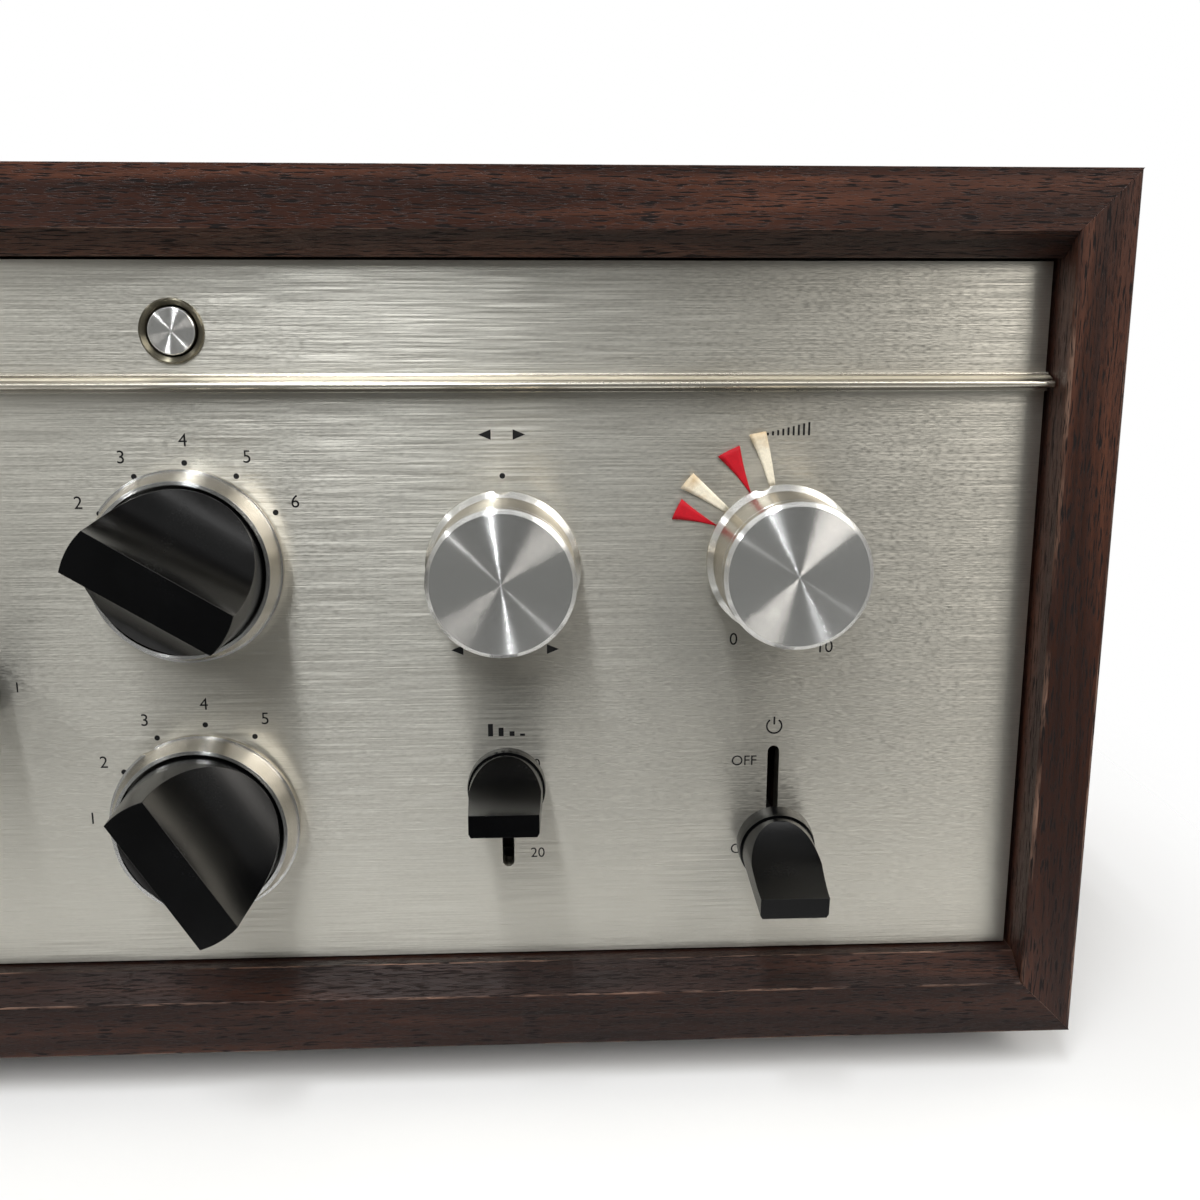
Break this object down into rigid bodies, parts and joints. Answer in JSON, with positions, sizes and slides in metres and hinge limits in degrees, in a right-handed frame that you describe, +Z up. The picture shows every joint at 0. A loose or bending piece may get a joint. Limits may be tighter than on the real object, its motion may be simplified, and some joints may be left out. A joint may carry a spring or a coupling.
{
  "type": "stereo control amplifier",
  "caption": "Stereo control amplifier in a dark wooden case, with a brushed metal front panel, turned silver knobs, black bar selectors, lever switches and a push button.",
  "frame": {"origin": "middle of the overall box, on the plane that the feet stand on", "axes": "+X to the right seen from the front, +Y from the front to the back, +Z up"},
  "size_m": [0.463, 0.265, 0.182],
  "materials": {
    "rosewood": "satin",
    "brushed_champagne": "brushed",
    "trim_metal": "polished",
    "spun_silver": "spun",
    "black_caps": "satin",
    "bezel_ring": "satin",
    "brass_fittings": "machined",
    "lever_steel": "bright",
    "sheet_steel": "plated",
    "rear_paint": "satin",
    "rubber": "matte",
    "screw_steel": "bright",
    "bakelite": "satin",
    "pot_steel": "plated",
    "core_iron": "lacquered",
    "winding": "wrapped",
    "can_aluminium": "drawn",
    "tube_glass": "clear",
    "ceramic": "glazed",
    "socket_plating": "plated",
    "outlet_plastic": "moulded"
  },
  "bodies": {
    "cabinet": {"case_top": "rosewood", "case_bottom": "rosewood", "case_left": "rosewood", "case_right": "rosewood", "front_panel": "brushed_champagne", "trim_strip": "trim_metal", "button_bezel": "bezel_ring", "control_nuts": "brass_fittings", "sub_panel": "sheet_steel", "chassis": "sheet_steel", "rear_panel": "rear_paint", "feet": "rubber", "cord_bushing": "rubber", "screws": "screw_steel", "rotary_switches": "bakelite", "lever_switches": "bakelite", "push_switch": "bakelite", "potentiometers": "pot_steel", "transformer_core": "core_iron", "transformer_coil": "winding", "filter_capacitors": "can_aluminium", "tubes": "tube_glass", "tube_sockets": "ceramic", "phono_sockets": "socket_plating", "ground_post": "socket_plating", "mains_outlets": "outlet_plastic", "fuse_holder": "outlet_plastic"},
    "volume": {"volume_knob": "spun_silver", "volume_shaft": "brass_fittings"},
    "balance": {"balance_knob": "spun_silver", "balance_shaft": "brass_fittings"},
    "bass": {"bass_knob": "spun_silver", "bass_shaft": "brass_fittings"},
    "treble": {"treble_knob": "spun_silver", "treble_shaft": "brass_fittings"},
    "input": {"input_ring": "spun_silver", "input_cap": "black_caps", "input_shaft": "brass_fittings"},
    "mode": {"mode_ring": "spun_silver", "mode_cap": "black_caps", "mode_shaft": "brass_fittings"},
    "turnover": {"turnover_ring": "spun_silver", "turnover_cap": "black_caps", "turnover_shaft": "brass_fittings"},
    "filter": {"filter_ring": "spun_silver", "filter_cap": "black_caps", "filter_shaft": "brass_fittings"},
    "power": {"power_lever_cap": "black_caps", "power_lever_arm": "lever_steel"},
    "attenuator": {"attenuator_lever_cap": "black_caps", "attenuator_lever_arm": "lever_steel"},
    "low_cut": {"low_cut_lever_cap": "black_caps", "low_cut_lever_arm": "lever_steel"},
    "high_cut": {"high_cut_lever_cap": "black_caps", "high_cut_lever_arm": "lever_steel"},
    "tape": {"tape_lever_cap": "black_caps", "tape_lever_arm": "lever_steel"},
    "dub": {"dub_lever_cap": "black_caps", "dub_lever_arm": "lever_steel"},
    "button": {"push_button": "spun_silver"}
  },
  "joints": [
    {"name": "volume_turn", "type": "hinge", "parent": "cabinet", "child": "volume", "pos_m": [0.169, -0.1035, 0.1095], "axis": [0, 1, 0], "range_deg": [-133, 167]},
    {"name": "balance_turn", "type": "hinge", "parent": "cabinet", "child": "balance", "pos_m": [0.1148, -0.1035, 0.1086], "axis": [0, 1, 0], "range_deg": [-150, 150]},
    {"name": "bass_turn", "type": "hinge", "parent": "cabinet", "child": "bass", "pos_m": [-0.169, -0.1035, 0.1095], "axis": [0, 1, 0], "range_deg": [-150, 150]},
    {"name": "treble_turn", "type": "hinge", "parent": "cabinet", "child": "treble", "pos_m": [-0.1148, -0.1035, 0.1095], "axis": [0, 1, 0], "range_deg": [-150, 150]},
    {"name": "input_turn", "type": "hinge", "parent": "cabinet", "child": "input", "pos_m": [0.0547, -0.1035, 0.1095], "axis": [0, 1, 0], "range_deg": [-31.5, 118.5]},
    {"name": "mode_turn", "type": "hinge", "parent": "cabinet", "child": "mode", "pos_m": [0.0552, -0.1035, 0.0575], "axis": [0, 1, 0], "range_deg": [-58, 62]},
    {"name": "turnover_turn", "type": "hinge", "parent": "cabinet", "child": "turnover", "pos_m": [-0.0547, -0.1035, 0.1095], "axis": [0, 1, 0], "range_deg": [-60, 60]},
    {"name": "filter_turn", "type": "hinge", "parent": "cabinet", "child": "filter", "pos_m": [-0.0547, -0.1035, 0.0579], "axis": [0, 1, 0], "range_deg": [-30, 90]},
    {"name": "power_swing", "type": "hinge", "parent": "cabinet", "child": "power", "pos_m": [0.169, -0.0485, 0.0579], "axis": [1, 0, 0], "range_deg": [-12.4, 0]},
    {"name": "attenuator_swing", "type": "hinge", "parent": "cabinet", "child": "attenuator", "pos_m": [0.1148, -0.0485, 0.0579], "axis": [1, 0, 0], "range_deg": [0, 12.4]},
    {"name": "low_cut_swing", "type": "hinge", "parent": "cabinet", "child": "low_cut", "pos_m": [-0.169, -0.0485, 0.0579], "axis": [1, 0, 0], "range_deg": [0, 12.4]},
    {"name": "high_cut_swing", "type": "hinge", "parent": "cabinet", "child": "high_cut", "pos_m": [-0.1148, -0.0485, 0.0579], "axis": [1, 0, 0], "range_deg": [0, 12.4]},
    {"name": "tape_swing", "type": "hinge", "parent": "cabinet", "child": "tape", "pos_m": [0.01, -0.0485, 0.085], "axis": [1, 0, 0], "range_deg": [-6.2, 6.2]},
    {"name": "dub_swing", "type": "hinge", "parent": "cabinet", "child": "dub", "pos_m": [-0.01, -0.0485, 0.085], "axis": [1, 0, 0], "range_deg": [-6.2, 6.2]},
    {"name": "button_press", "type": "slide", "parent": "cabinet", "child": "button", "axis": [0, 1, 0], "range_m": [0, 0.003], "stiffness_N_per_m": 400}
  ]
}
